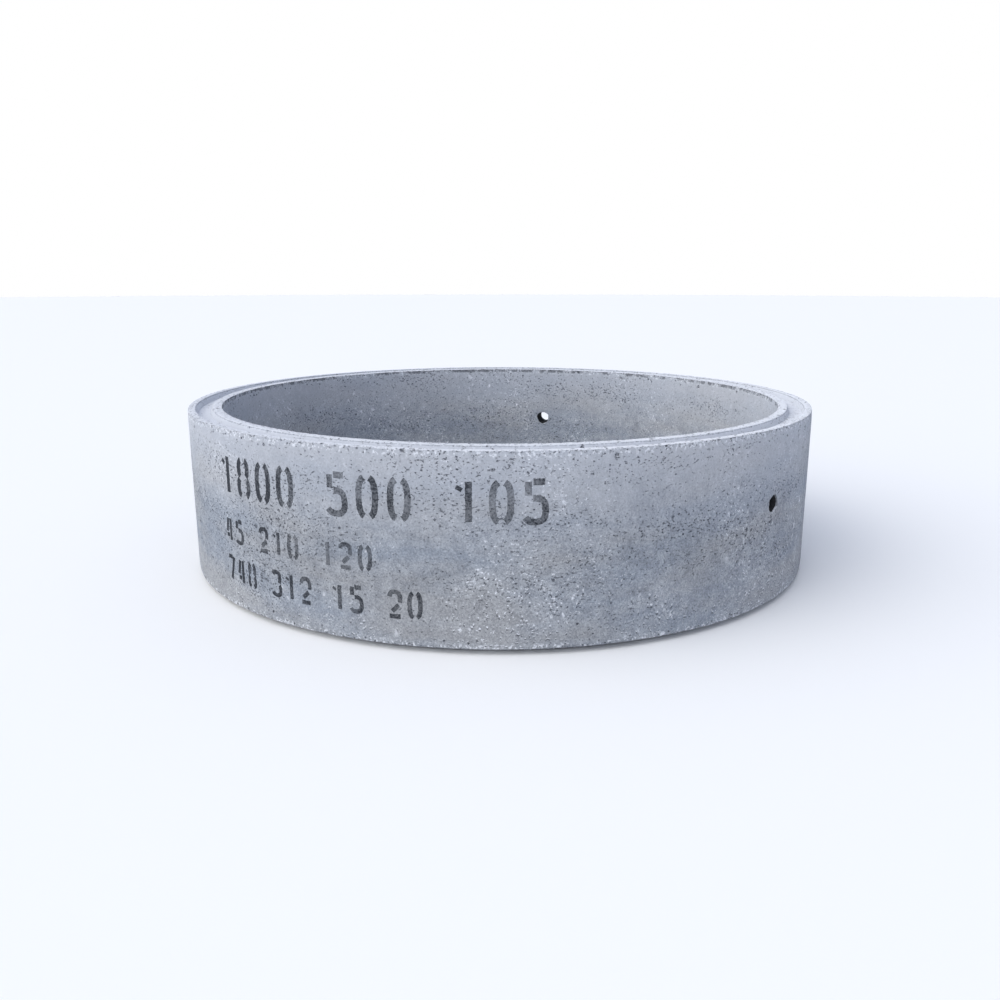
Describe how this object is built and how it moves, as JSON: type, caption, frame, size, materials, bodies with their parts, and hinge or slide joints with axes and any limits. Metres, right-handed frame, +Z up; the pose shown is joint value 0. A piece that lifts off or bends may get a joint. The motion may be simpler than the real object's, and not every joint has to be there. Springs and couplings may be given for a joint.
{
  "type": "concrete chamber ring",
  "caption": "Short wide concrete ring with a grooved top end, a tongue under its bottom end and lifting holes through its wall; rings stack on each other to line a shaft or culvert drop.",
  "frame": {"origin": "on the ring's axis, at the level of the tongue's foot, which is what the ring stands on", "axes": "+Z up along the ring's axis, groove end up; -Y towards the face that the picture shows; +X to its right"},
  "size_m": [2.0098, 2.0098, 0.515],
  "materials": {
    "concrete": "dry-cast grey concrete, matt, with small open pits and ragged corners",
    "marking_paint": "thin worn stencil paint"
  },
  "bodies": {
    "root": {"concrete_ring": "concrete"}
  },
  "joints": []
}
